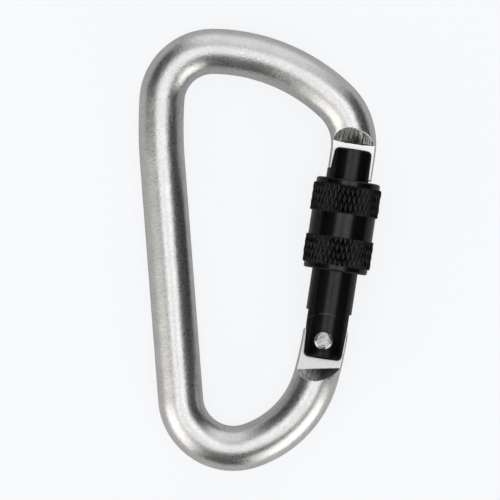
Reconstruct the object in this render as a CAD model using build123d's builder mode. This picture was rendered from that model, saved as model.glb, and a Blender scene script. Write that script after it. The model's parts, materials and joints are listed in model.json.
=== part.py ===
from build123d import *
from math import cos, radians
import os

# Screw-lock accessory carabiner, in millimetres and degrees.
#
# The carabiner lies flat: its plane is parallel to XY, its spine runs along +Y and the gate is on
# the +X side. The origin is under the middle of its bounding box, on the surface it lies on.
#
# Gate frame: "along" is measured from the hinge rivet towards the nose, "out" from the gate's
# axis away from the spine, and "up" from the middle plane of the bar.

# ---------- bar ----------
bar_radius = 4.0
spine_length = 42.6
gate_lean = 13.0                                # between the spine and the gate's axis
top_bends = ((78.5, 8.0), (9.05, 87.0), (32.0, 43.0), (10.4, 55.0))    # radius, turn
bottom_bends = ((9.4, 104.0), (18.1, 56.0))
hinge_bend_turn = 7.0                           # its radius is worked out, so that the ends align
hinge_bend_end = 2.05                           # where that bend meets the gate's axis, along

# ---------- tabs milled on the bar's ends ----------
tab_thickness = 2.8
nose_shoulder = 35.5                            # along
nose_ramp_run = 2.65
nose_tip_radius = 29.4                          # about the rivet, so that the tip clears the sleeve
nose_step_along = 30.55                         # the nose tab is narrower below this
nose_step_out = -2.9
hinge_tab_tilt = 10.0                           # the hinge tab was milled before the last bend
hinge_shoulder = 5.0                            # below the rivet, along the tilted tab
hinge_ramp_run = 2.1
hinge_tab_end = 2.3                             # above the rivet, along the tilted tab
hinge_tab_corner = 1.2
hinge_tab_width = 8.25

# ---------- gate ----------
gate_radius = 4.075
gate_nose_end = 34.25                           # along
gate_hinge_end = -3.2                           # along
gate_corner = 0.85
gate_edge = 0.25
nose_ear_half_width = 3.25                      # at the end; the flats widen towards the sleeve
nose_ear_half_width_low = 3.42
nose_ear_inner_low = 3.58                       # the same, on the side towards the spine
outer_flat_start = 28.2
inner_flat_start = 30.45
hinge_ear_half_width = 3.63
hinge_ear_end_half_width = 3.36                 # the ears taper towards their end
hinge_taper_start = 2.8
hinge_flat_start = 5.1
slot_width = 3.0
nose_slot_floor = 28.35
nose_slot_wall_out = -3.0                       # the slot's closed side, towards the spine
hinge_slot_floor = 4.8

# ---------- hinge rivet ----------
rivet_out = -0.3
rivet_radius = 1.1
rivet_hole_in_gate = 1.15
rivet_hole_in_tab = 1.12
rivet_head_radius = 1.6
rivet_head_under = 3.55                         # up
rivet_head_rim = 4.1
rivet_head_top = 4.3
spotface_radius = 1.65
spotface_up = 3.5

# ---------- spring and plunger ----------
plunger_out = -1.8
plunger_radius = 1.0
plunger_nose_along = 3.12                       # centre of its round nose
plunger_back = 7.0
plunger_bore_radius = 1.05
plunger_bore_end = 13.3
spring_wire = 0.3
spring_coil_radius = 0.75
spring_turns = 9

# ---------- thread ----------
thread_pitch = 1.55
thread_start = 19.8                             # along, on the gate
thread_end = 27.8
thread_crest_radius = 4.425
thread_root_width = 0.75
thread_crest_width = 0.45
nut_ridge_turns = 0.9
nut_ridge_crest_radius = 4.2
ridge_sink = 0.15                               # how far a ridge is rooted in its wall

# ---------- screw-lock sleeve ----------
sleeve_start = 12.46                            # along, unlocked
sleeve_rim_radius = 5.69
sleeve_band_radius = 6.13
sleeve_waist_radius = 5.72
sleeve_rim_length = 1.0
sleeve_band_length = 5.0
sleeve_waist_length = 4.25
sleeve_bore_radius = 4.55
sleeve_lip_radius = 4.2
sleeve_lip_length = 0.8
band_chamfer = 0.18
rim_chamfer = 0.25

# ---------- drag ring ----------
ring_along = 13.1
ring_section_radius = 0.23
ring_radius = 4.37
groove_radius = 4.7
groove_half_length = 0.3

mid_height = sleeve_band_radius                 # the sleeve is the thickest piece
beyond = 5.0                                    # how far cutters reach past the bar


def bend_bar(foot):
    """The bar's centreline from the foot of its spine, and the gate's axis between its ends."""
    with BuildLine() as line:
        spine = Line(foot, foot + Vector(0, spine_length, 0))
        last = spine
        for radius, turn in top_bends:
            last = JernArc(last @ 1, last % 1, radius, -turn)
        nose_bend_end = last @ 1
        towards_nose = (last % 1) * -1
        out = Vector(towards_nose.Y, -towards_nose.X, 0)

        start, direction = spine @ 0, (spine % 0) * -1
        for radius, turn in bottom_bends:
            last = JernArc(start, direction, radius, turn)
            start, direction = last @ 1, last % 1
        distance_to_axis = (nose_bend_end - start).dot(out)
        hinge_bend_radius = distance_to_axis / (1 - cos(radians(hinge_bend_turn)))
        last = JernArc(start, direction, hinge_bend_radius, hinge_bend_turn)
        rivet_level = last @ 1 - towards_nose * hinge_bend_end

        Line(last @ 1, rivet_level + towards_nose * beyond)
        Line(nose_bend_end, rivet_level + towards_nose * nose_slot_floor)
    return line.wire(), Plane(rivet_level, x_dir=out, z_dir=(0, 0, 1))


def box_centre():
    """Middle of the whole object's extent in X and Y, seen from the foot of the spine."""
    wire, gate_frame = bend_bar(Vector(0, 0, 0))
    bar = wire.bounding_box()
    band_end = sleeve_start + 2 * sleeve_band_length + sleeve_rim_length + sleeve_waist_length
    sleeve_corner = gate_frame.from_local_coords((sleeve_band_radius, band_end, 0))
    right = max(bar.max.X + bar_radius, sleeve_corner.X)
    return (right + bar.min.X - bar_radius) / 2, (bar.max.Y + bar.min.Y) / 2


def across(along, out=0.0):
    """Plane across the gate at a distance along it: X is out and Z is along."""
    return Plane(gate_plane.from_local_coords((out, along, 0)), x_dir=gate_plane.x_dir,
                 z_dir=gate_plane.y_dir)


def tab_profile_plane(tab_plane):
    """Plane through a tab's axis and up, for the profile of what is milled away."""
    return Plane(tab_plane.origin, x_dir=tab_plane.y_dir, z_dir=tab_plane.x_dir)


def mill_faces(tab_plane, shoulder, run, free_end):
    """Mill both faces of a tab flat, from its free end to a ramp that rises to the bar."""
    flat = tab_thickness / 2
    height = bar_radius - flat
    ramp_end = shoulder + run * (1 + 1 / height)
    for side in (1, -1):
        with BuildSketch(tab_profile_plane(tab_plane)) as profile:
            with BuildLine():
                Polyline((free_end, side * flat), (shoulder, side * flat),
                         (ramp_end, side * (bar_radius + 1)), (free_end, side * (bar_radius + 1)),
                         close=True)
            make_face()
        extrude(profile.sketch, amount=2 * bar_radius, both=True, mode=Mode.SUBTRACT)


def ridge(wall_radius, crest_radius, lead, turns):
    """A helical ridge about +Z on the wall of a shaft or bore, starting at the height lead."""
    grow = 1 if crest_radius > wall_radius else -1
    foot = wall_radius - grow * ridge_sink
    depth = abs(crest_radius - wall_radius)
    slope = (thread_root_width - thread_crest_width) / 2 / depth
    foot_half = thread_root_width / 2 + slope * ridge_sink
    crest_half = thread_crest_width / 2
    with BuildPart() as turn_of_thread:
        with BuildLine():
            Helix(thread_pitch, thread_pitch * turns, foot, center=(0, 0, lead))
        with BuildSketch(Plane((foot, 0, lead), x_dir=(1, 0, 0), z_dir=(0, -1, 0))):
            with BuildLine():
                Polyline((0, -foot_half), (grow * (depth + ridge_sink), -crest_half),
                         (grow * (depth + ridge_sink), crest_half), (0, foot_half), close=True)
            make_face()
        sweep(is_frenet=True)
    return turn_of_thread.part


centre_x, centre_y = box_centre()
bar_line, gate_plane = bend_bar(Vector(-centre_x, -centre_y, mid_height))
rivet = gate_plane.from_local_coords((rivet_out, 0, 0))
rivet_plane = Plane(rivet, x_dir=gate_plane.x_dir, z_dir=(0, 0, 1))
hinge_tab_plane = rivet_plane.rotated((0, 0, hinge_tab_tilt))
gate_axis = Axis(gate_plane.origin, gate_plane.y_dir)
thread_lead = thread_start + thread_root_width / 2
nut_lead = thread_lead - thread_pitch / 2       # in the groove between the gate's ridges
full = gate_radius + 1                          # outside the gate's round surface

# ---------- body: the bent bar ----------
with BuildPart() as body:
    with BuildSketch(Plane(bar_line ^ 0)):
        Circle(bar_radius)
    sweep(path=bar_line)
    mill_faces(rivet_plane, nose_shoulder, nose_ramp_run, nose_slot_floor - beyond)
    mill_faces(hinge_tab_plane, -hinge_shoulder, -hinge_ramp_run, hinge_tab_end + beyond)
    # Nose tip: an arc about the rivet, stepped back on the side towards the spine.
    with BuildSketch(rivet_plane):
        Circle(nose_tip_radius)
        with Locations((0, nose_tip_radius)):
            Rectangle(4 * bar_radius, nose_tip_radius, mode=Mode.INTERSECT)
    extrude(amount=2 * bar_radius, both=True, mode=Mode.SUBTRACT)
    with BuildSketch(gate_plane):
        with Locations((nose_step_out, nose_step_along)):
            Rectangle(2 * bar_radius, 2 * bar_radius, align=(Align.MAX, Align.MAX))
    extrude(amount=2 * bar_radius, both=True, mode=Mode.SUBTRACT)
    # Hinge tab's end: a tilted line with round corners.
    with BuildSketch(hinge_tab_plane):
        Rectangle(4 * bar_radius, 2 * beyond, align=(Align.CENTER, Align.MIN))
        with Locations((-rivet_out, 0)):
            RectangleRounded(hinge_tab_width, 2 * hinge_tab_end, hinge_tab_corner,
                             mode=Mode.SUBTRACT)
    extrude(amount=2 * bar_radius, both=True, mode=Mode.SUBTRACT)
    with BuildSketch(rivet_plane):
        Circle(rivet_hole_in_tab)
    extrude(amount=2 * bar_radius, both=True, mode=Mode.SUBTRACT)

# ---------- gate: a round rod, slotted at both ends, with flats beside the slots ----------
with BuildPart() as gate:
    with BuildSketch(across(gate_hinge_end)):
        Circle(gate_radius)
    extrude(amount=gate_nose_end - gate_hinge_end)
    chamfer(gate.edges().filter_by(GeomType.CIRCLE), gate_edge)
    with BuildSketch(gate_plane):
        with BuildLine():
            Polyline((-hinge_ear_end_half_width, gate_hinge_end),
                     (hinge_ear_end_half_width, gate_hinge_end),
                     (hinge_ear_half_width, hinge_taper_start),
                     (hinge_ear_half_width, hinge_flat_start), (full, hinge_flat_start),
                     (full, outer_flat_start), (nose_ear_half_width_low, outer_flat_start),
                     (nose_ear_half_width, gate_nose_end), (-nose_ear_half_width, gate_nose_end),
                     (-nose_ear_inner_low, inner_flat_start), (-full, inner_flat_start),
                     (-full, hinge_flat_start), (-hinge_ear_half_width, hinge_flat_start),
                     (-hinge_ear_half_width, hinge_taper_start), close=True)
        make_face()
        ends = vertices().group_by(Axis.Y)
        fillet(ends[0] + ends[-1], gate_corner)
    extrude(amount=full, both=True, mode=Mode.INTERSECT)
    # Nose slot: open at the end and outwards, closed towards the spine below the inner flat.
    with BuildSketch(gate_plane):
        with BuildLine():
            Polyline((nose_slot_wall_out, nose_slot_floor), (full, nose_slot_floor),
                     (full, gate_nose_end + 1), (-full, gate_nose_end + 1),
                     (-full, inner_flat_start), (nose_slot_wall_out, inner_flat_start), close=True)
        make_face()
    extrude(amount=slot_width / 2, both=True, mode=Mode.SUBTRACT)
    # Hinge slot: open at the end and on both sides.
    with BuildSketch(gate_plane):
        with Locations((0, hinge_slot_floor)):
            Rectangle(2 * full, 2 * beyond, align=(Align.CENTER, Align.MAX))
    extrude(amount=slot_width / 2, both=True, mode=Mode.SUBTRACT)
    with BuildSketch(rivet_plane):
        Circle(rivet_hole_in_gate)
    extrude(amount=full, both=True, mode=Mode.SUBTRACT)
    for side in (1, -1):
        with BuildSketch(rivet_plane.offset(side * spotface_up)):
            Circle(spotface_radius)
        extrude(amount=side * beyond, mode=Mode.SUBTRACT)
    with BuildSketch(across(hinge_slot_floor, plunger_out)):
        Circle(plunger_bore_radius)
    extrude(amount=plunger_bore_end - hinge_slot_floor, mode=Mode.SUBTRACT)
    thread_length = thread_end - thread_start - thread_root_width
    gate_ridge = ridge(gate_radius, thread_crest_radius, thread_lead, thread_length / thread_pitch)
    add(gate_ridge.moved(across(0).location))

# ---------- sleeve ----------
low_band = sleeve_start + sleeve_rim_length
waist_low = low_band + sleeve_band_length
waist_high = waist_low + sleeve_waist_length
high_rim = waist_high + sleeve_band_length
sleeve_end = high_rim + sleeve_rim_length
rim_inset = sleeve_rim_radius - rim_chamfer
band_inset = sleeve_band_radius - band_chamfer
with BuildPart() as lock_sleeve:
    with BuildSketch(gate_plane):
        with BuildLine():
            Polyline((sleeve_lip_radius, sleeve_start), (rim_inset, sleeve_start),
                     (sleeve_rim_radius, sleeve_start + rim_chamfer), (sleeve_rim_radius, low_band),
                     (band_inset, low_band), (sleeve_band_radius, low_band + band_chamfer),
                     (sleeve_band_radius, waist_low - band_chamfer), (band_inset, waist_low),
                     (sleeve_waist_radius, waist_low), (sleeve_waist_radius, waist_high),
                     (band_inset, waist_high), (sleeve_band_radius, waist_high + band_chamfer),
                     (sleeve_band_radius, high_rim - band_chamfer), (band_inset, high_rim),
                     (sleeve_rim_radius, high_rim), (sleeve_rim_radius, sleeve_end - rim_chamfer),
                     (rim_inset, sleeve_end), (sleeve_lip_radius, sleeve_end),
                     (sleeve_lip_radius, sleeve_end - sleeve_lip_length),
                     (sleeve_bore_radius, sleeve_end - sleeve_lip_length),
                     (sleeve_bore_radius, ring_along + groove_half_length),
                     (groove_radius, ring_along + groove_half_length),
                     (groove_radius, ring_along - groove_half_length),
                     (sleeve_lip_radius, ring_along - groove_half_length), close=True)
        make_face()
    revolve(axis=gate_axis)
    nut_ridge = ridge(sleeve_bore_radius, nut_ridge_crest_radius, nut_lead, nut_ridge_turns)
    add(nut_ridge.moved(across(0).location))

# ---------- drag ring in the sleeve's lower groove ----------
with BuildPart() as drag_ring:
    with BuildSketch(gate_plane):
        with Locations((ring_radius, ring_along)):
            Circle(ring_section_radius)
    revolve(axis=gate_axis)

# ---------- rivet, peened over at both ends ----------
with BuildPart() as hinge_rivet:
    with BuildSketch(Plane(rivet, x_dir=gate_plane.x_dir, z_dir=gate_plane.y_dir * -1)):
        with BuildLine():
            low_dome = TangentArc((0, -rivet_head_top), (rivet_head_radius, -rivet_head_rim),
                                  tangent=(1, 0))
            high_dome = TangentArc((0, rivet_head_top), (rivet_head_radius, rivet_head_rim),
                                   tangent=(1, 0))
            Polyline((rivet_head_radius, -rivet_head_rim), (rivet_head_radius, -rivet_head_under),
                     (rivet_radius, -rivet_head_under), (rivet_radius, rivet_head_under),
                     (rivet_head_radius, rivet_head_under), (rivet_head_radius, rivet_head_rim))
            Line((0, rivet_head_top), (0, -rivet_head_top))
        make_face()
    revolve(axis=Axis(rivet, (0, 0, 1)))

# ---------- plunger and spring in the gate's bore ----------
with BuildPart(across(plunger_nose_along, plunger_out)) as spring_plunger:
    Cylinder(plunger_radius, plunger_back - plunger_nose_along,
             align=(Align.CENTER, Align.CENTER, Align.MIN))
    Sphere(plunger_radius)

spring_length = plunger_bore_end - plunger_back - 2 * spring_wire
with BuildPart() as coil:
    with BuildLine():
        Helix(spring_length / spring_turns, spring_length, spring_coil_radius)
    with BuildSketch(Plane((spring_coil_radius, 0, 0), x_dir=(1, 0, 0), z_dir=(0, -1, 0))):
        Circle(spring_wire / 2)
    sweep(is_frenet=True)
with BuildPart() as gate_spring:
    add(coil.part.moved(across(plunger_back + spring_wire, plunger_out).location))

os.makedirs("parts", exist_ok=True)
body.part.label = "body"
export_step(body.part, "parts/body.step")
gate.part.label = "gate"
export_step(gate.part, "parts/gate.step")
lock_sleeve.part.label = "lock_sleeve"
export_step(lock_sleeve.part, "parts/lock_sleeve.step")
drag_ring.part.label = "drag_ring"
export_step(drag_ring.part, "parts/drag_ring.step")
hinge_rivet.part.label = "hinge_rivet"
export_step(hinge_rivet.part, "parts/hinge_rivet.step")
spring_plunger.part.label = "spring_plunger"
export_step(spring_plunger.part, "parts/spring_plunger.step")
gate_spring.part.label = "gate_spring"
export_step(gate_spring.part, "parts/gate_spring.step")
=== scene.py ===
"""Looks of the screw-lock carabiner: bar, knurled sleeve, peened rivet, finishes, floor and studio light.

Lengths are in millimetres and turned into metres where a mesh is made. The gate's own directions,
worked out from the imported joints, are "along" (hinge to nose), "out" (away from the spine) and up.
"""

import json
import math
import random

import bmesh
import bpy
from mathutils import Matrix, Vector, noise


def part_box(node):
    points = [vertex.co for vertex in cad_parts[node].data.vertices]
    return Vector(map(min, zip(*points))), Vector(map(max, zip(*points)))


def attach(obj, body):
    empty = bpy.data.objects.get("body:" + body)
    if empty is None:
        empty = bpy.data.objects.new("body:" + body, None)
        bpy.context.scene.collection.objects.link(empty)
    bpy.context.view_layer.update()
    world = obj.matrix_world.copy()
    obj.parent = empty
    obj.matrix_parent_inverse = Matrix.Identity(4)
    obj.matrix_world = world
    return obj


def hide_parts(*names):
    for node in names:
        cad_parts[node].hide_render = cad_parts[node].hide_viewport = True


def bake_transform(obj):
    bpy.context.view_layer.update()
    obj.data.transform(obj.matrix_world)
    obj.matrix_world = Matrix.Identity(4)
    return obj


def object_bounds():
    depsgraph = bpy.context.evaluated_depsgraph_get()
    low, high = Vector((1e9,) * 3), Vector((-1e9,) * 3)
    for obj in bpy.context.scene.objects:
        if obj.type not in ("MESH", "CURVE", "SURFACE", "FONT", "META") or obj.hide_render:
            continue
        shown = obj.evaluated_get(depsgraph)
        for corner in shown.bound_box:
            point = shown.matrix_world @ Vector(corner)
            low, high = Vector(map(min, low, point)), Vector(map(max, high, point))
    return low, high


MM = 0.001
SAME_POINT = 0.0005                                           # points closer than this are one
UP = Vector((0, 0, 1))
random.seed(11)

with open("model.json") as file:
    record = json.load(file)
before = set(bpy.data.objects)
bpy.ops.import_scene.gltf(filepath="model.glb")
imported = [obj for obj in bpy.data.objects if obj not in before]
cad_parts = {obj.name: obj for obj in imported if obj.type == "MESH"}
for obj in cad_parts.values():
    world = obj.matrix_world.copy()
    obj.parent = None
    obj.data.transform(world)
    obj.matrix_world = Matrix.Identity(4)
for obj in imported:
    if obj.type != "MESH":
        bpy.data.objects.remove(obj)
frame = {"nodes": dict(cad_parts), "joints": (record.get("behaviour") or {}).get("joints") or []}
cad_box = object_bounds()

# ---------- places taken from the frame ----------
joints = {joint["name"]: joint for joint in frame["joints"]}
rivet = Vector(joints["gate_hinge"]["pos_m"]) / MM
axis_foot = Vector(joints["sleeve_turn"]["pos_m"]) / MM       # on the gate's axis, level with the rivet
along = Vector(joints["sleeve_turn"]["axis"]).normalized()
out = along.cross(UP)
gate_heading = math.atan2(along.y, along.x)
body_low, body_high = (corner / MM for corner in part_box("body"))
rivet_low, rivet_high = (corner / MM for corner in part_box("hinge_rivet"))
whole_low, whole_high = (corner / MM for corner in cad_box)
mid_height = rivet.z

# ---------- sizes of the bar: the same bends and milled tabs as the CAD body ----------
BAR_RADIUS = (body_high.z - body_low.z) / 2
SPINE_LENGTH = 42.6
NOSE_BENDS = ((10.4, 55), (32.0, 43), (9.05, 87), (78.5, 8))  # radius, degrees, from the nose
FOOT_BENDS = ((9.4, 104), (18.1, 56))                         # from the spine to the hinge
HINGE_BEND = 7                                                # degrees; its radius closes the loop
RUN_OUT = 8.0                                                 # straight run past each tab's end
TAB_HALF = 1.4                                                # half the thickness of both tabs
NOSE_SHOULDER = 35.5                                          # distances along are from the rivet
NOSE_RAMP = 2.65
NOSE_TIP_RADIUS = 29.4
NOSE_ARC_END = 31.6                                           # sections are flat, not arcs, from here on
NOSE_STEP_ALONG = 30.55
NOSE_STEP_OUT = -2.9
NOSE_STEP_RUN = 0.12                                          # the step's wall leans by this much
NOSE_STEP_SPREAD = 1.6
NOSE_SIDE = 4.6                                               # the tab's outer side, from the rivet
HINGE_TILT = 10
HINGE_SHOULDER = 5.0
HINGE_RAMP = 2.1
HINGE_END = 2.3
HINGE_WIDTH = 8.25
HINGE_CORNER = 1.2
EDGE_BREAK = 0.14                                             # rounding of the milled edges
SHOULDER_BULGE = 0.3                                          # the nose cutter left a curved shoulder
CUT_SHOWS = 0.05                                              # a shallower cut keeps the bar's finish
SIDE_CELLS = 10                                               # round a section, on its sides and top
TOP_CELLS = 44
STEEPEST_EDGE = 86                                            # degrees round the section
EDGE_PLACE = 3.0                                              # across the bar, where an edge's height is set
SECTION_TURN = 13.0                                           # run over which sections turn square to it
EDGE_EASE = 6                                                 # run over which their points spread evenly

# ---------- sizes of the sleeve ----------
SLEEVE_START = 12.46
RIM_RADIUS = 5.69
BAND_RADIUS = (whole_high.z - whole_low.z) / 2
WAIST_RADIUS = 5.72
BORE_RADIUS = 4.55
LIP_RADIUS = 4.2
GROOVE_RADIUS = 4.7
RIM_LENGTH = 1.0
BAND_LENGTH = 5.0
WAIST_LENGTH = 4.25
LIP_LENGTH = 0.8
RING_ALONG = 13.1
GROOVE_HALF = 0.3
DIAMONDS = 40                                                 # knurl diamonds round a band
DIAMOND_LENGTH = 2.84
DIAMOND_CELLS = 8
GROOVE_SHARE = 0.5                                            # of a diamond, on each side of a groove
KNURL_DEPTH = 0.26
KNURL_ROUNDING = 1.8                                          # above 1, rounded crests and sharp grooves
KNURL_WEAR = 0.07                                             # the most that a diamond has lost
TURNED_BREAK = 0.12                                           # chamfers of the lips

# ---------- sizes of the rivet, gate and spring ----------
HEAD_UNDER = 3.55                                             # heights are from the middle plane
HEAD_RIM = 3.93
SHANK_RADIUS = 1.1
DISC_RADIUS = 0.94                                            # the struck middle of a head
HIGHLIGHT_LINE_RADIUS = 4.8                                          # a painted highlight line on the gate, round the rivet
SPRING_LENGTH = 5.7
SPRING_TURNS = 10
SPRING_RADIUS = 0.75
SPRING_WIRE = 0.15                                            # half the wire's thickness


# ---------- meshes ----------
def make_mesh(name, points, faces, materials, face_materials=None, sharp_degrees=35):
    """An object from points in millimetres, smooth apart from edges sharper than an angle."""
    mesh = bpy.data.meshes.new(name)
    mesh.from_pydata([point * MM for point in points], [], faces)
    for material in materials:
        mesh.materials.append(material)
    if face_materials:
        mesh.polygons.foreach_set("material_index", face_materials)
    shape = bmesh.new()
    shape.from_mesh(mesh)
    bmesh.ops.remove_doubles(shape, verts=shape.verts, dist=SAME_POINT * MM)
    shape.to_mesh(mesh)
    shape.free()
    mesh.validate()
    mesh.shade_smooth()
    mesh.set_sharp_from_angle(angle=math.radians(sharp_degrees))
    piece = bpy.data.objects.new(name, mesh)
    bpy.context.scene.collection.objects.link(piece)
    return piece


def smooth_step(value):
    """From 0 to 1, level at both ends."""
    value = min(1, max(0, value))
    return value * value * (3 - 2 * value)


def soft_min(a, b, reach):
    """The smaller of two lengths, rounded where they are within reach of each other."""
    overlap = max(reach - abs(a - b), 0)
    return min(a, b) - overlap * overlap / (4 * reach)


def gate_point(a, o, u):
    """A point from its distances along the gate's axis, outwards and up."""
    return axis_foot + along * a + out * o + UP * u


# ---------- bar ----------
class Centreline:
    """Straight runs and tangent left-hand arcs in the middle plane, measured by length."""

    def __init__(self, start, heading, runs):
        self.runs = []
        self.length = 0
        for length, curvature in runs:
            self.runs.append((self.length, start, heading, curvature))
            start = self.step(start, heading, curvature, length)
            heading += curvature * length
            self.length += length

    @staticmethod
    def step(start, heading, curvature, length):
        if not curvature:
            return start + Vector((math.cos(heading), math.sin(heading), 0)) * length
        turned = heading + curvature * length
        return start + Vector((math.sin(turned) - math.sin(heading),
                               math.cos(heading) - math.cos(turned), 0)) / curvature

    def at(self, length):
        begin, start, heading, curvature = [run for run in self.runs if run[0] <= length or run[0] == 0][-1]
        ahead = length - begin
        return self.step(start, heading, curvature, ahead), heading + curvature * ahead

    def fibre(self, length, offset):
        """A point to the right of the line, and the line's heading there."""
        centre, heading = self.at(length)
        right = Vector((math.sin(heading), -math.cos(heading), 0))
        return centre + right * offset, heading

    def crossing(self, length, offset, plane_point, direction):
        """The length at which the fibre at an offset crosses a plane, from a first guess."""
        ahead_a_little, close_enough = 0.01, 1e-5
        for _ in range(12):
            spot, heading = self.fibre(length, offset)
            curvature = (self.at(length + ahead_a_little)[1] - heading) / ahead_a_little
            ahead = direction.x * math.cos(heading) + direction.y * math.sin(heading)
            step = (spot - plane_point).dot(direction) / (ahead * (1 + curvature * offset))
            length -= step
            if abs(step) < close_enough:
                break
        return length


def arc(radius, degrees):
    """A run's length and curvature."""
    return radius * math.radians(degrees), 1 / radius


def bar_centreline():
    """From below the nose tab's tip, round the eye, to past the end of the hinge tab."""
    runs = [(RUN_OUT, 0)]
    runs += [arc(radius, turn) for radius, turn in NOSE_BENDS]
    runs.append((SPINE_LENGTH, 0))
    runs += [arc(radius, turn) for radius, turn in FOOT_BENDS]
    trial = Centreline(Vector((0, 0, 0)), gate_heading, runs)
    from_axis = -trial.at(trial.length)[0].dot(out)
    hinge_radius = from_axis / (1 - math.cos(math.radians(HINGE_BEND)))
    runs.append(arc(hinge_radius, HINGE_BEND))
    runs.append((RUN_OUT, 0))
    trial = Centreline(Vector((0, 0, 0)), gate_heading, runs)
    count = 4000
    steps = [trial.at(trial.length * i / count)[0] for i in range(count + 1)]
    shift = Vector((body_low.x + BAR_RADIUS - min(p.x for p in steps),
                    body_high.y - BAR_RADIUS - max(p.y for p in steps), mid_height))
    on_axis = (shift - axis_foot).dot(out)
    shift -= Vector((on_axis / out.x, 0, 0))
    return Centreline(shift, gate_heading, runs)


def spread(stops):
    """Values between stops, each stop being (value, spacing up to the next one)."""
    values = []
    for (start, spacing), (end, _) in zip(stops, stops[1:]):
        count = max(1, round((end - start) / spacing))
        values += [start + (end - start) * i / count for i in range(count)]
    values.append(stops[-1][0])
    return values


class Tab:
    """The shape that a cutter left at one end of the bar."""

    def __init__(self, shoulder, ramp, bulge):
        self.shoulder = shoulder
        self.slope = (BAR_RADIUS - TAB_HALF) / ramp
        self.bulge = bulge

    def half_height(self, value, x):
        """Half the thickness left, at a distance from the rivet and a place across the bar."""
        rise = (value - self.shoulder + self.bulge * (1 - (x / BAR_RADIUS) ** 2)) * self.slope
        return TAB_HALF + max(0, rise)


NOSE = Tab(NOSE_SHOULDER, NOSE_RAMP, SHOULDER_BULGE)
HINGE = Tab(HINGE_SHOULDER, HINGE_RAMP, 0)


def ring_angles(half_height):
    """Angles round a section, with one line of points on each edge of the milled faces."""
    edge = math.asin(min(half_height / BAR_RADIUS, math.sin(math.radians(STEEPEST_EDGE))))
    side = [edge * i / SIDE_CELLS for i in range(SIDE_CELLS)]
    top = [edge + (math.pi - 2 * edge) * i / TOP_CELLS for i in range(TOP_CELLS + 1)]
    quarter = side + top + [math.pi - angle for angle in reversed(side)]
    return quarter + [-angle for angle in reversed(quarter[1:-1])]


def end_inset(distance, radius):
    """How far a rounded corner has drawn in, at a distance from the end."""
    if distance >= radius:
        return 0
    return radius - math.sqrt(max(0, radius * radius - (radius - distance) ** 2))


def bar_stations(line):
    """The bar's sections, each (kind, point of its plane, its direction, edge height, value).

    The value is the distance from the rivet on a tab, and the length along the line between the tabs.
    Sections are close together at the ends, the shoulders and the nose tab's step.
    """
    nose_clear = NOSE_SHOULDER + NOSE_RAMP + 0.55
    hinge_clear = HINGE_SHOULDER + HINGE_RAMP + 0.5
    hinge_direction = Matrix.Rotation(math.radians(HINGE_TILT), 3, "Z") @ along
    stations = []

    tip_stops = ((0.0, 0.02), (0.06, 0.04), (0.14, 0.1), (0.34, 0.25), (0.9, 0.06), (1.45, 0.25))
    for a in spread(tip_stops + ((NOSE_ARC_END - NOSE_TIP_RADIUS, 1),)):
        value = NOSE_TIP_RADIUS + a
        stations.append(("nose", rivet + along * value, along, TAB_HALF, value))
    for value in spread(((NOSE_ARC_END + 0.3, 0.35), (NOSE_SHOULDER - 0.5, 0.07), (nose_clear, 1))):
        stations.append(("nose", rivet + along * value, along, NOSE.half_height(value, EDGE_PLACE), value))

    nose_bend = (line.at(RUN_OUT)[0] - rivet).dot(along)
    start = line.crossing(RUN_OUT + nose_clear - nose_bend, 0, rivet + along * nose_clear, along)
    end = line.crossing(line.length - RUN_OUT - 5, 0, rivet - hinge_direction * hinge_clear, hinge_direction)
    start_lag = line.at(start)[1] - gate_heading
    hinge_heading = math.atan2(hinge_direction.y, hinge_direction.x) + 2 * math.pi
    end_lead = hinge_heading - line.at(end)[1]
    plain_edge = BAR_RADIUS * math.sin(math.pi * SIDE_CELLS / (2 * SIDE_CELLS + TOP_CELLS))
    top_edge = BAR_RADIUS * math.sin(math.radians(STEEPEST_EDGE))
    for length in spread(((start + 0.3, 0.4), (end - 0.3, 1))):
        centre, heading = line.at(length)
        lag = start_lag * (1 - smooth_step((length - start) / SECTION_TURN))
        lead = end_lead * (1 - smooth_step((end - length) / SECTION_TURN))
        turned = heading - lag + lead
        ease = min((length - start), (end - length)) / EDGE_EASE
        edge = top_edge + (plain_edge - top_edge) * smooth_step(ease)
        stations.append(("bar", centre, Vector((math.cos(turned), math.sin(turned), 0)), edge, length))

    hinge_values = spread(((-HINGE_END, 0.02), (-HINGE_END + 0.06, 0.04), (-HINGE_END + 0.14, 0.08),
                           (-HINGE_END + 0.5, 0.12), (-HINGE_END + HINGE_CORNER + 0.1, 0.35),
                           (HINGE_SHOULDER - 0.4, 0.07), (hinge_clear, 1)))
    for value in reversed(hinge_values):
        edge = HINGE.half_height(value, EDGE_PLACE)
        stations.append(("hinge", rivet - hinge_direction * value, hinge_direction, edge, value))
    return stations


def trim_nose(value, x, sideways, height):
    """Cut a point of the bar to the nose tab: (lag behind its plane, sideways, height, cut)."""
    from_tip = value - NOSE_TIP_RADIUS
    break_in = end_inset(from_tip, EDGE_BREAK)
    limit = NOSE.half_height(value, x) - break_in
    step_out = NOSE_STEP_OUT - (rivet - axis_foot).dot(out)
    past_step = (value - NOSE_STEP_ALONG) / NOSE_STEP_RUN
    low_side = step_out - NOSE_STEP_SPREAD * max(0, past_step) + break_in
    if past_step < 1.2:
        sideways = -soft_min(-sideways, -low_side, EDGE_BREAK)
    sideways = soft_min(sideways, NOSE_SIDE - break_in, EDGE_BREAK)
    arc_drop = math.sqrt(NOSE_TIP_RADIUS ** 2 - sideways ** 2) - NOSE_TIP_RADIUS
    lag = arc_drop * (1 - smooth_step(from_tip / (NOSE_ARC_END - NOSE_TIP_RADIUS)))
    return lag, sideways, soft_min(height, limit, EDGE_BREAK), height - limit


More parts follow.
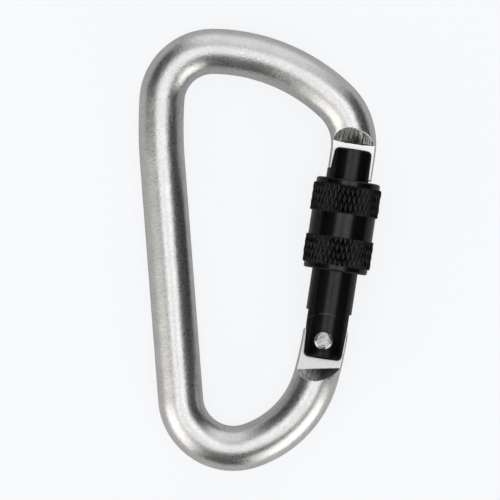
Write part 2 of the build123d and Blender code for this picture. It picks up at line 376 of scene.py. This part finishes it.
def trim_hinge(value, x, sideways, height):
    """Cut a point of the bar to the hinge tab, as trim_nose does."""
    from_end = value + HINGE_END
    break_in = end_inset(from_end, EDGE_BREAK)
    limit = HINGE.half_height(value, x) - break_in
    middle = (axis_foot - rivet).dot(out)
    half_width = HINGE_WIDTH / 2 - end_inset(from_end, HINGE_CORNER) - break_in
    if value < 0:
        sideways = soft_min(sideways, middle + half_width, EDGE_BREAK)
        sideways = -soft_min(-sideways, half_width - middle, EDGE_BREAK)
    return 0, sideways, soft_min(height, limit, EDGE_BREAK), height - limit


def bar_rows(line, stations):
    """Points of the bar, the row of each section, and each section's zone for the materials."""
    trims = {"nose": trim_nose, "hinge": trim_hinge}
    shoulders = {"nose": NOSE_SHOULDER, "hinge": HINGE_SHOULDER, "bar": 1e9}
    hinge_start = line.length - RUN_OUT - 12          # a guess further back finds another bend
    guesses = [RUN_OUT * 0.5] * len(ring_angles(TAB_HALF))
    points, rows, zones = [], [], []
    for kind, plane_point, direction, edge_height, value in stations:
        side = direction.cross(UP)
        row, milled = [], []
        for k, angle in enumerate(ring_angles(edge_height)):
            x = BAR_RADIUS * math.cos(angle)
            height = abs(BAR_RADIUS * math.sin(angle))
            guess = max(guesses[k], hinge_start) if kind == "hinge" else guesses[k]
            guesses[k] = line.crossing(guess, x, plane_point, direction)
            spot = line.fibre(guesses[k], x)[0]
            cut = 0.0
            if kind in trims:
                sideways = (spot - rivet).dot(side)
                lag, sideways, height, cut = trims[kind](value, x, sideways, height)
                spot = plane_point + direction * lag + side * sideways
            row.append(len(points))
            milled.append(cut > CUT_SHOWS)
            points.append(Vector((spot.x, spot.y, mid_height + (height if angle >= 0 else -height))))
        rows.append(row)
        zones.append((kind, value - shoulders[kind], milled))
    return points, rows, zones


def build_bar(materials):
    """The bar; materials are the bar's own, nose ramp, nose flat, hinge ramp, hinge flat (a darker copy,
    painted shade) and the burr's painted highlight.
    """
    line = bar_centreline()
    points, rows, zones = bar_rows(line, bar_stations(line))
    burr_middle, burr_reach = SIDE_CELLS + TOP_CELLS * 0.26, TOP_CELLS * 0.24
    paint = {("nose", True): 1, ("nose", False): 2, ("hinge", True): 3, ("hinge", False): 4}
    burr_highlight_paint = 5
    faces, face_materials = [], []
    for (low, low_zone), (high, high_zone) in zip(zip(rows, zones), zip(rows[1:], zones[1:])):
        count = len(low)
        kind, low_value, low_milled = low_zone
        high_kind, high_value, high_milled = high_zone
        ramp = max(low_value, high_value) > 0.02
        for k in range(count):
            after = (k + 1) % count
            faces.append((low[k], high[k], high[after], low[after]))
            milled = low_milled[k] and low_milled[after] and high_milled[k] and high_milled[after]
            milled = milled and kind == high_kind
            # faces along the nose ramp's arc, on one side, get the burr's painted highlight
            rim = kind == "nose" and ramp and low_milled[k] != high_milled[k - 1]
            burr_painted_highlight = rim and abs(k - burr_middle) < burr_reach
            face_materials.append(burr_highlight_paint if burr_painted_highlight else paint[kind, ramp] if milled else 0)
    half = len(rows[0]) // 2
    for row, flipped, tab in ((rows[0], False, "nose"), (rows[-1], True, "hinge")):
        for k in range(half):
            cell = list(dict.fromkeys((row[k], row[k + 1], row[-k - 1], row[-k] if k else row[0])))
            faces.append(tuple(reversed(cell)) if flipped else tuple(cell))
            face_materials.append(paint[tab, False])
    return make_mesh("bar", points, faces, materials, face_materials)


# ---------- sleeve ----------
def knurl(turn, length):
    """Depth of the diamond knurl, from 0 on a diamond to 1 in a groove, and the diamond's number."""
    first = turn * DIAMONDS + length / DIAMOND_LENGTH
    second = turn * DIAMONDS - length / DIAMOND_LENGTH
    from_groove = min(abs(first - round(first)), abs(second - round(second)))
    number = (math.floor(first), math.floor(second))
    return max(0, 1 - from_groove / GROOVE_SHARE) ** KNURL_ROUNDING, number


def sleeve_profile():
    """Rows of (along, radius, knurled) round the sleeve's section, from the bore's mouth outwards."""
    low_band = SLEEVE_START + RIM_LENGTH
    waist_low = low_band + BAND_LENGTH
    waist_high = waist_low + WAIST_LENGTH
    high_rim = waist_high + BAND_LENGTH
    end = high_rim + RIM_LENGTH
    chamfer = 0.18
    rim = 0.25

    def band(start, low_wall, high_wall):
        rows = [(start, low_wall, False), (start, BAND_RADIUS - chamfer, True)]
        cell = DIAMOND_LENGTH / DIAMOND_CELLS
        inner = [start + cell * i for i in range(1, 1 + int((BAND_LENGTH - chamfer) / cell))]
        first, last = start + chamfer, start + BAND_LENGTH - chamfer
        marks = [mark for mark in sorted(set([first, last] + inner)) if first <= mark <= last]
        rows += [(mark, BAND_RADIUS, True) for mark in marks]
        rows += [(start + BAND_LENGTH, BAND_RADIUS - chamfer, True),
                 (start + BAND_LENGTH, high_wall, False)]
        return rows

    profile = [(SLEEVE_START + TURNED_BREAK, LIP_RADIUS, False),
               (SLEEVE_START, LIP_RADIUS + TURNED_BREAK, False),
               (SLEEVE_START, RIM_RADIUS - rim, False), (SLEEVE_START + rim, RIM_RADIUS, False)]
    profile += band(low_band, RIM_RADIUS, WAIST_RADIUS)
    profile += [(waist_low + WAIST_LENGTH * i / 4, WAIST_RADIUS, False) for i in (1, 2, 3)]
    profile += band(waist_high, WAIST_RADIUS, RIM_RADIUS)
    profile += [(end - rim, RIM_RADIUS, False), (end, RIM_RADIUS - rim, False),
                (end, LIP_RADIUS + TURNED_BREAK, False), (end - TURNED_BREAK, LIP_RADIUS, False),
                (end - LIP_LENGTH, LIP_RADIUS, False), (end - LIP_LENGTH, BORE_RADIUS, False),
                (RING_ALONG + GROOVE_HALF, BORE_RADIUS, False),
                (RING_ALONG + GROOVE_HALF, GROOVE_RADIUS, False),
                (RING_ALONG - GROOVE_HALF, GROOVE_RADIUS, False),
                (RING_ALONG - GROOVE_HALF, LIP_RADIUS, False)]
    return profile


def build_sleeve(materials):
    """The sleeve; materials are its plain finish and the knurled bands', a darker copy as painted shade."""
    profile = sleeve_profile()
    columns = DIAMONDS * DIAMOND_CELLS
    worn = {}
    points, depths = [], []
    for length, radius, knurled in profile:
        for column in range(columns):
            turn = column / columns
            depth, number = knurl(turn, length) if knurled else (0, None)
            here = radius
            if knurled:
                wear = worn.setdefault(number, random.uniform(0, KNURL_WEAR))
                here = min(radius, BAND_RADIUS - KNURL_DEPTH * depth - wear * (1 - depth))
            angle = 2 * math.pi * turn
            points.append(gate_point(length, here * math.cos(angle), here * math.sin(angle)))
            depths.append(depth)
    faces, face_materials = [], []
    for row in range(len(profile)):
        below, above = row * columns, (row + 1) % len(profile) * columns
        for column in range(columns):
            after = (column + 1) % columns
            corners = (below + column, above + column, above + after, below + after)
            if profile[row][2] and profile[(row + 1) % len(profile)][2]:
                a, b, c, d = corners
                level = abs(depths[a] - depths[c]) <= abs(depths[b] - depths[d])
                faces += [(a, b, c), (a, c, d)] if level else [(a, b, d), (b, c, d)]
                face_materials += [1, 1]
            else:
                faces.append(corners)
                face_materials.append(0)
    return make_mesh("sleeve", points, faces, materials, face_materials, sharp_degrees=20)


# ---------- rivet ----------
def build_rivet(material):
    """A pin whose two ends were hammered over: bevelled heads with a dented middle."""
    head_radius = (rivet_high.x - rivet_low.x) / 2
    top = rivet_high.z - mid_height
    rings, columns = 22, 64
    rim_break, bevel_slope, ring_width = 0.03, 0.56, 0.1
    face_radius = head_radius - rim_break
    wall = [(SHANK_RADIUS, HEAD_UNDER - 0.2), (SHANK_RADIUS, HEAD_UNDER), (head_radius - 0.08, HEAD_UNDER),
            (head_radius, HEAD_UNDER + 0.1), (head_radius, HEAD_RIM - 0.08), (face_radius, HEAD_RIM)]

    def struck(x, y, radius, side):
        """Height of the head's face: a bevel up to a dented disc, with a ring round it."""
        bevel = HEAD_RIM + (face_radius - radius) * bevel_slope
        dome = top - rim_break - 0.05 * (radius / DISC_RADIUS) ** 2
        dents = noise.noise(Vector((x * 1.7, y * 1.7, 7 * side)))
        fine = noise.noise(Vector((x * 4.2, y * 4.2, 3 * side)))
        ring = math.exp(-((radius - DISC_RADIUS) / ring_width) ** 2)
        return min(top, soft_min(bevel, dome, 0.06) + 0.08 * dents + 0.03 * fine - 0.06 * ring)

    profile = wall + [(face_radius * (1 - i / rings), None) for i in range(1, rings)]
    points, faces, starts = [], [], []
    for side in (1, -1):
        base = len(points)
        starts.append(base)
        for radius, height in profile:
            for column in range(columns):
                angle = 2 * math.pi * column / columns
                x, y = radius * math.cos(angle), radius * math.sin(angle)
                level = struck(x, y, radius, side) if height is None else height
                points.append(Vector((rivet.x + x, rivet.y + y * side, mid_height + side * level)))
        centre = len(points)
        points.append(Vector((rivet.x, rivet.y, mid_height + side * (top - 0.04))))
        for row in range(len(profile) - 1):
            a, b = base + row * columns, base + (row + 1) * columns
            for column in range(columns):
                after = (column + 1) % columns
                faces.append((a + column, a + after, b + after, b + column))
        last = base + (len(profile) - 1) * columns
        faces += [(last + column, last + (column + 1) % columns, centre) for column in range(columns)]
    upper, lower = starts
    for column in range(columns):
        after = (column + 1) % columns
        mirror, mirror_after = -column % columns, -after % columns
        faces.append((upper + after, upper + column, lower + mirror, lower + mirror_after))
    return make_mesh("rivet", points, faces, [material], sharp_degrees=50)


# ---------- spring ----------
def spring_ends():
    """The ends of the spring's axis, in the gate's bore, from the CAD spring's box."""
    low, high = (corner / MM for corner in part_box("gate_spring"))
    middle = (low + high) / 2
    reach = along * (SPRING_LENGTH / 2)
    return middle - reach, middle + reach


def build_spring(material):
    """A compression spring with one closed turn at each end."""
    foot, _ = spring_ends()
    wire_steps, turn_steps = 8, 24
    closed = 2 * SPRING_WIRE
    points, faces = [], []
    count = SPRING_TURNS * turn_steps
    for step in range(count + 1):
        turn = step / turn_steps
        opened = min(max(turn - 1, 0), SPRING_TURNS - 2)
        rise = closed * (turn - opened) + (SPRING_LENGTH - 2 * closed) * opened / (SPRING_TURNS - 2)
        angle = 2 * math.pi * turn
        outward = out * math.cos(angle) + UP * math.sin(angle)
        for side in range(wire_steps):
            bend = 2 * math.pi * side / wire_steps
            ring = SPRING_RADIUS + SPRING_WIRE * math.cos(bend)
            points.append(foot + along * (rise + SPRING_WIRE * math.sin(bend)) + outward * ring)
    for step in range(count):
        base = step * wire_steps
        for side in range(wire_steps):
            after = (side + 1) % wire_steps
            faces.append((base + side, base + after, base + wire_steps + after, base + wire_steps + side))
    faces.append(tuple(reversed(range(wire_steps))))
    faces.append(tuple(count * wire_steps + side for side in range(wire_steps)))
    return make_mesh("spring", points, faces, [material], sharp_degrees=60)


# ---------- materials ----------
def add_node(tree, kind, inputs=None, **settings):
    """A node whose inputs are set to values or linked from other nodes' outputs."""
    made = tree.nodes.new(kind)
    for key, value in settings.items():
        setattr(made, key, value)
    for key, value in (inputs or {}).items():
        if isinstance(value, bpy.types.NodeSocket):
            tree.links.new(value, made.inputs[key])
        else:
            made.inputs[key].default_value = value
    return made


def maths(tree, operation, *values):
    """A maths node's result, from numbers or sockets."""
    return add_node(tree, "ShaderNodeMath", dict(enumerate(values)), operation=operation).outputs[0]


def vector_maths(tree, operation, *values):
    """A vector maths node's result, from vectors or sockets: a number or a vector."""
    made = add_node(tree, "ShaderNodeVectorMath", dict(enumerate(values)), operation=operation)
    number = operation in ("DOT_PRODUCT", "DISTANCE", "LENGTH")
    return made.outputs["Value" if number else "Vector"]


class Finish:
    """A material: its Principled shader and the nodes that feed it."""

    def __init__(self, name, **constants):
        self.material = bpy.data.materials.new(name)
        self.material.use_nodes = True
        self.tree = self.material.node_tree
        self.shader = self.tree.nodes["Principled BSDF"]
        for socket, value in constants.items():
            self.shader.inputs[socket.replace("_", " ")].default_value = value
        self.place = self.add("ShaderNodeTexCoord").outputs["Object"]

    def add(self, kind, inputs=None, **settings):
        return add_node(self.tree, kind, inputs, **settings)

    def maths(self, operation, *values):
        return maths(self.tree, operation, *values)

    def vector_maths(self, operation, *values):
        return vector_maths(self.tree, operation, *values)

    def gate_frame(self, stretch):
        """Coordinates whose X is along the gate and Y across it, in millimetres times stretch."""
        turned = self.add("ShaderNodeVectorRotate", {"Vector": self.place, "Angle": -gate_heading},
                          rotation_type="Z_AXIS")
        return self.vector_maths("MULTIPLY", turned.outputs[0], [part / MM for part in stretch])

    def dots(self, per_mm, inner, outer, picked):
        """A mask of small round dots in some of a pattern's cells; the higher picked is, the fewer."""
        cells = self.add("ShaderNodeTexVoronoi",
                         {"Vector": self.place, "Scale": per_mm / MM, "Randomness": 1.0})
        dot = self.map(cells.outputs["Distance"], inner, outer, 1.0, 0.0)
        pick = self.add("ShaderNodeSeparateColor", {0: cells.outputs["Color"]}).outputs[0]
        return self.maths("MULTIPLY", dot, self.map(pick, picked, picked + 0.02, 0.0, 1.0))

    def noise(self, per_mm, detail=3, roughness=0.55, place=None):
        scale = per_mm if place else per_mm / MM
        inputs = {"Vector": place or self.place, "Scale": scale, "Detail": detail, "Roughness": roughness}
        return self.add("ShaderNodeTexNoise", inputs).outputs["Fac"]

    def map(self, value, low, high, to_low, to_high):
        return self.add("ShaderNodeMapRange", {"Value": value, "From Min": low, "From Max": high,
                                               "To Min": to_low, "To Max": to_high}).outputs["Result"]

    def colours(self, value, stops):
        """A colour ramp through stops, each (position, colour)."""
        made = self.add("ShaderNodeValToRGB", {"Fac": value})
        ramp = made.color_ramp
        while len(ramp.elements) < len(stops):
            ramp.elements.new(0.5)
        for element, (position, colour) in zip(ramp.elements, stops):
            element.position = position
            element.color = (*colour, 1)
        return made.outputs["Color"]

    def mix(self, factor, a, b, blend="MIX"):
        made = self.add("ShaderNodeMix", data_type="RGBA", blend_type=blend)
        for socket, value in ((made.inputs[0], factor), (made.inputs[6], a), (made.inputs[7], b)):
            if isinstance(value, bpy.types.NodeSocket):
                self.tree.links.new(value, socket)
            else:
                socket.default_value = value if isinstance(value, float) else (*value, 1)
        return made.outputs[2]

    def bump(self, height, depth_mm, below=None):
        inputs = {"Height": height, "Distance": depth_mm * MM, "Strength": 1.0}
        if below:
            inputs["Normal"] = below
        return self.add("ShaderNodeBump", inputs).outputs["Normal"]

    def set(self, socket, value):
        self.tree.links.new(value, self.shader.inputs[socket])


def grey(value):
    return (value, value, value)


def bar_satin():
    """Blasted and tumbled aluminium: fine grain, small pits, faint stains, roughest in one corner."""
    f = Finish("bar_satin", Metallic=1.0)
    grain = f.noise(2.8, detail=3, roughness=0.65)
    blotch = f.noise(0.35, detail=3)
    tone = f.colours(blotch, ((0.3, (0.81, 0.815, 0.82)), (0.7, (0.91, 0.91, 0.905))))
    fine = f.noise(2.4, detail=3, roughness=0.7)
    speckle = f.colours(fine, ((0.36, (0.91, 0.9, 0.89)), (0.54, (1.0, 1.0, 1.0))))
    pits = f.dots(1.6, 0.06, 0.16, picked=0.73)
    f.set("Base Color", f.mix(pits, f.mix(1.0, tone, speckle, "MULTIPLY"), (0.70, 0.68, 0.66)))
    f.set("Roughness", f.map(grain, 0.3, 0.7, 0.25, 0.36))
    patch = f.map(f.noise(0.22, detail=2, roughness=0.6), 0.42, 0.62, 0.75, 1.35)
    worn_corner = Vector((body_low.x + 10, body_high.y - 10.5, mid_height)) * MM
    away = f.vector_maths("DISTANCE", f.place, worn_corner)
    coarse = f.maths("MULTIPLY", f.map(away, 9 * MM, 22 * MM, 1.85, 0.9), patch)
    rough = f.bump(f.maths("MULTIPLY", grain, coarse), 0.024)
    f.set("Normal", f.bump(pits, -0.005, rough))
    return f.material


def milled_flat(name, tone):
    """The faces of the tabs: cut bright and flat, with faint cutter marks."""
    f = Finish(name, Metallic=1.0)
    marks = f.noise(1, detail=2, place=f.gate_frame((0.25, 4.0, 1)))
    f.set("Base Color", f.colours(marks, ((0.3, grey(tone * 0.96)), (0.7, grey(tone)))))
    f.set("Roughness", f.map(marks, 0.3, 0.7, 0.26, 0.36))
    f.set("Normal", f.bump(marks, 0.002))
    return f.material


def milled_ramp(name, dark, light, rough, stretch, painted_shade_across=None):
    """The ramp up to the bar, where the cutter left streaks; painted shade may darken one side."""
    f = Finish(name, Metallic=1.0)
    streaks = f.noise(1, detail=3, roughness=0.6, place=f.gate_frame(stretch))
    colour = f.colours(streaks, ((0.43, dark), (0.57, light)))
    # painted shade: the ramp's colour is darkened on one side of a line across it
    if painted_shade_across:
        middle, reach, shade = painted_shade_across
        from_rivet = f.maths("SUBTRACT", f.vector_maths("DOT_PRODUCT", f.place, out), rivet.dot(out) * MM)
        side = f.map(from_rivet, (middle - reach) * MM, (middle + reach) * MM, 0.0, 1.0)
        colour = f.mix(side, colour, f.mix(0.85, colour, shade))
    f.set("Base Color", colour)
    f.set("Roughness", f.map(streaks, 0.3, 0.7, rough * 0.75, rough))
    f.set("Normal", f.bump(streaks, 0.3))
    return f.material


def paint_burr_highlight():
    """The raised burr along the nose ramp's arc: torn metal, rough and coloured near white as a painted
    highlight.
    """
    f = Finish("burr_painted_highlight", Metallic=0.35, Roughness=0.45)
    grain = f.noise(5, detail=2)
    f.set("Base Color", f.colours(grain, ((0.3, grey(0.86)), (0.6, grey(0.98)))))
    f.set("Normal", f.bump(grain, 0.01))
    return f.material


def black_anodised(name, tone, low_rough, high_rough, marks_and_painted_light=False):
    """Satin black anodising over turned aluminium; when marked, with painted shade near the foot, painted
    glints at its end, a painted highlight line round the rivet and a few scuffs.
    """
    f = Finish(name, Metallic=1.0)
    fine = f.noise(9, detail=3)
    cloud = f.noise(0.8, detail=2)
    colour = f.colours(cloud, ((0.3, grey(tone * 0.88)), (0.7, grey(tone * 1.1))))
    rough = f.map(fine, 0.3, 0.7, low_rough, high_rough)
    if marks_and_painted_light:
        # painted shade darkens the gate near the foot, and painted glints stand for the turning marks at its
        # end
        up_gate = f.vector_maths("DOT_PRODUCT", f.place, along)
        foot = rivet.dot(along)
        painted_shade_near_foot = f.map(up_gate, (foot - 1.6) * MM, (foot + 1.2) * MM, 1.0, 0.0)
        colour = f.mix(painted_shade_near_foot, colour, grey(tone * 0.45))
        # painted glints: brighter streaks on the turning marks near the end
        turned = f.map(f.noise(1, detail=2, place=f.gate_frame((2.6, 0.5, 0.5))), 0.5, 0.66, 0.0, 1.0)
        painted_glint_at_end = f.map(up_gate, (foot - 2.9) * MM, (foot - 2.1) * MM, 0.8, 0.0)
        colour = f.mix(f.maths("MULTIPLY", turned, painted_glint_at_end), colour, grey(tone * 4))
        # a painted highlight line round the rivet, and a few scuffs
        from_rivet = f.vector_maths("SUBTRACT", f.place, rivet * MM)
        level = f.vector_maths("MULTIPLY", from_rivet, (1, 1, 0))
        off = f.maths("SUBTRACT", f.vector_maths("LENGTH", level), HIGHLIGHT_LINE_RADIUS * MM)
        line = f.map(f.maths("ABSOLUTE", off), 0.03 * MM, 0.12 * MM, 1.0, 0.0)
        broken = f.map(f.noise(0.9, detail=3), 0.42, 0.6, 0.0, 1.0)
        scuffs = f.dots(0.9, 0.05, 0.12, picked=0.80)
        marks = f.maths("MAXIMUM", f.maths("MULTIPLY", line, broken), scuffs)
        colour = f.mix(marks, colour, grey(tone * 3.2))
        rough = f.maths("ADD", rough, f.map(marks, 0.0, 1.0, 0.0, 0.2))
    f.set("Roughness", rough)
    f.set("Base Color", colour)
    f.set("Normal", f.bump(fine, 0.002))
    return f.material


def steel(name, tone, low_rough, high_rough, grain_per_mm):
    """Plain steel with a mottled grain."""
    f = Finish(name, Metallic=1.0)
    grain = f.noise(grain_per_mm, detail=4, roughness=0.65)
    f.set("Base Color", f.colours(grain, ((0.38, grey(tone * 0.62)), (0.6, grey(tone)))))
    f.set("Roughness", f.map(grain, 0.3, 0.7, low_rough, high_rough))
    f.set("Normal", f.bump(grain, 0.01))
    return f.material


def rubber():
    """Matt black rubber."""
    f = Finish("ring_rubber", Metallic=0.0)
    grain = f.noise(6, detail=2)
    f.set("Base Color", f.colours(grain, ((0.3, grey(0.012)), (0.7, grey(0.022)))))
    f.set("Roughness", f.map(grain, 0.3, 0.7, 0.55, 0.7))
    f.set("Normal", f.bump(grain, 0.01))
    return f.material


def dress(node, material):
    """Give a CAD node its finish."""
    for slot in frame["nodes"][node].material_slots:
        slot.material = material


# ---------- studio ----------
VIEW_TURN = math.radians(4.375)                     # the carabiner is seen turned by this much
VIEW_WIDTH = 88.9                                   # across the frame, in the middle plane
LENS = 180.0
SENSOR = 36.0
VIEW_CENTRE = (-2.93, -0.39)


def direction(azimuth, from_top):
    """Unit vector, with the azimuth in degrees in the turned view, 0 to the right and 90 up."""
    a, t = math.radians(azimuth) - VIEW_TURN, math.radians(from_top)
    return Vector((math.cos(a) * math.sin(t), math.sin(a) * math.sin(t), math.cos(t)))


# (degrees to the right, degrees up the view, half width, half height, softness, colour)
OVERHEAD_BOXES = (
    (-13.5, 3, 10.5, 22, 0.2, (1.28, 1.30, 1.29)),
    (18, 3, 13, 22, 0.2, (1.28, 1.30, 1.29)),
    (2, 3, 5, 16, 0.6, (0.46, 0.46, 0.46)),
)
# (azimuth, half width, first and last degrees from overhead, softness in degrees, colour)
WALL_BOXES = (
    (-150, 23.5, 34, 98, 9, (1.46, 1.41, 1.34)),
    (-48, 24, 49, 106, 7, (1.55, 1.52, 1.44)),
    (82, 32, 32, 100, 8, (0.78, 0.78, 0.77)),
)
AMBIENT = (0.022, 0.022, 0.023)
BACKDROP = (0.939, 0.947, 0.965)                    # plain, like the floor, beyond its edge
FLOOR_REACH = 1500
FLOOR_GAP = 0.01


def light_world():
    """Soft boxes of light by direction, with dark gaps between them."""
    world = bpy.data.worlds.new("studio")
    world.use_nodes = True
    bpy.context.scene.world = world
    tree = world.node_tree

    def dot(vector, side):
        return vector_maths(tree, "DOT_PRODUCT", vector, side)

    def inside(value, edge, soft):
        """1 where the size of a value is under an edge, fading to 0 beyond it."""
        limits = {"Value": maths(tree, "ABSOLUTE", value), "From Min": edge + soft, "From Max": edge - soft}
        fade = add_node(tree, "ShaderNodeMapRange", limits, interpolation_type="SMOOTHSTEP")
        return fade.outputs["Result"]

    def multiply(first, second):
        return maths(tree, "MULTIPLY", first, second)

    toward = tree.nodes.new("ShaderNodeTexCoord").outputs["Generated"]
    level = vector_maths(tree, "NORMALIZE", vector_maths(tree, "MULTIPLY", toward, (1, 1, 0)))
    view_right, view_up = direction(0, 90), direction(90, 90)
    boxes = []
    for right, up, half_width, half_height, soft, colour in OVERHEAD_BOXES:
        aside = view_right * math.tan(math.radians(right)) + view_up * math.tan(math.radians(up))
        facing = (aside + UP).normalized()
        share = maths(tree, "GREATER_THAN", dot(toward, facing), 0.5)
        for axis, half in ((view_right, half_width), (view_up, half_height)):
            side = (axis - facing * axis.dot(facing)).normalized() / math.sin(math.radians(half))
            share = multiply(share, inside(dot(toward, side), 1, soft))
        boxes.append((share, colour))
    for azimuth, half_width, first, last, soft, colour in WALL_BOXES:
        width, edge = math.sin(math.radians(half_width)), math.sin(math.radians(soft))
        highest, lowest = math.cos(math.radians(first)), math.cos(math.radians(last))
        middle = highest / 2 + lowest / 2
        share = maths(tree, "GREATER_THAN", dot(level, direction(azimuth, 90)), 0)
        share = multiply(share, inside(dot(level, direction(azimuth + 90, 90)), width, edge))
        height = maths(tree, "SUBTRACT", dot(toward, UP), middle)
        share = multiply(share, inside(height, highest - middle, math.radians(soft) * 0.8))
        boxes.append((share, colour))
    total = AMBIENT
    for share, colour in boxes:
        box = add_node(tree, "ShaderNodeVectorMath", {0: colour, "Scale": share}, operation="SCALE")
        total = vector_maths(tree, "ADD", total, box.outputs["Vector"])
    camera_ray = tree.nodes.new("ShaderNodeLightPath").outputs["Is Camera Ray"]
    seen = add_node(tree, "ShaderNodeMix", {0: camera_ray, 6: total}, data_type="RGBA")
    seen.inputs[7].default_value = (*BACKDROP, 1)
    tree.links.new(seen.outputs[2], tree.nodes["Background"].inputs["Color"])


def floor_material(name, albedo, glow):
    """A dull floor that also glows evenly, so that it is as pale as the backdrop."""
    material = bpy.data.materials.new(name)
    material.use_nodes = True
    shader = material.node_tree.nodes["Principled BSDF"]
    shader.inputs["Base Color"].default_value = (*albedo, 1)
    shader.inputs["Roughness"].default_value = 1.0
    shader.inputs["Specular IOR Level"].default_value = 0.0
    shader.inputs["Emission Color"].default_value = (*glow, 1)
    shader.inputs["Emission Strength"].default_value = 1.0
    return material


def floor_plane(name, drop, material):
    """A wide floor that the sleeve and the spine both rest on."""
    spine_foot = Vector((body_low.x + BAR_RADIUS, 0, body_low.z))
    sleeve_middle = gate_point(SLEEVE_START + RIM_LENGTH + BAND_LENGTH + WAIST_LENGTH / 2, 0, 0)
    tilt = math.atan2(-spine_foot.z, sleeve_middle.x - spine_foot.x)
    normal = Vector((-math.sin(tilt), 0, math.cos(tilt)))
    painted_shade_across = Vector((normal.z, 0, -normal.x))
    touch = sleeve_middle - normal * BAND_RADIUS
    corners = [touch + painted_shade_across * (FLOOR_REACH * i) + Vector((0, FLOOR_REACH * j, 0)) - normal * drop
               for i, j in ((-1, -1), (1, -1), (1, 1), (-1, 1))]
    floor = make_mesh(name, corners, [(0, 1, 2, 3)], [material])
    return floor


def build_floor():
    """The floor that is seen, and just under it the one that lights the object from below."""
    seen = floor_plane("floor_seen", 0.0, floor_material("floor_seen", grey(0.2), (0.825, 0.833, 0.851)))
    seen.visible_glossy = False
    seen.visible_diffuse = False
    seen.visible_shadow = False
    lit = floor_plane("floor_lit", FLOOR_GAP, floor_material("floor_lit", (0.72, 0.72, 0.73), grey(0)))
    lit.visible_camera = False
    lit.visible_shadow = False


def place_camera():
    camera = bpy.data.objects.new("camera", bpy.data.cameras.new("camera"))
    bpy.context.scene.collection.objects.link(camera)
    camera.data.lens = LENS
    camera.data.sensor_width = SENSOR
    distance = VIEW_WIDTH * LENS / SENSOR
    camera.location = Vector((*VIEW_CENTRE, mid_height + distance)) * MM
    camera.rotation_euler = (0, 0, -VIEW_TURN)
    camera.data.clip_start = 0.01
    bpy.context.scene.camera = camera


# ---------- put together ----------
place_camera()
light_world()
build_floor()
bpy.context.scene.view_settings.view_transform = "Standard"

nose_ramp = milled_ramp("nose_ramp", grey(0.34), (1.0, 0.99, 0.97), 0.36, (0.1, 3.6, 0.4))
# the hinge ramp gets painted shade on one side
hinge_ramp = milled_ramp("hinge_ramp", grey(0.55), grey(0.97), 0.55, (0.22, 3.6, 1),
                         painted_shade_across=(-0.2, 0.9, grey(0.12)))
# the hinge flat is a darker copy of the nose flat: painted shade
bar = build_bar([bar_satin(), nose_ramp, milled_flat("nose_flat", 0.97),
                 hinge_ramp, milled_flat("hinge_flat_painted_shade", 0.78), paint_burr_highlight()])
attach(bar, "frame")
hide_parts("body")

# the knurled bands get a darker copy of the black finish: painted shade
sleeve = build_sleeve([black_anodised("sleeve_black", 0.042, 0.2, 0.27),
                       black_anodised("knurl_black_painted_shade", 0.026, 0.16, 0.3)])
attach(sleeve, "sleeve")
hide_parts("lock_sleeve")

rivet_piece = build_rivet(steel("rivet_steel", 0.74, 0.28, 0.4, 1.2))
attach(rivet_piece, "frame")
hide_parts("hinge_rivet")

# the gate's finish has painted shade near the foot and painted highlights at its end and round the rivet
dress("gate", black_anodised("gate_black", 0.036, 0.22, 0.3, marks_and_painted_light=True))
spring = build_spring(steel("spring_steel", 0.62, 0.25, 0.4, 8))
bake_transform(spring)
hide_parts("gate_spring")

dress("spring_plunger", steel("plunger_steel", 0.66, 0.2, 0.35, 5))
dress("drag_ring", rubber())
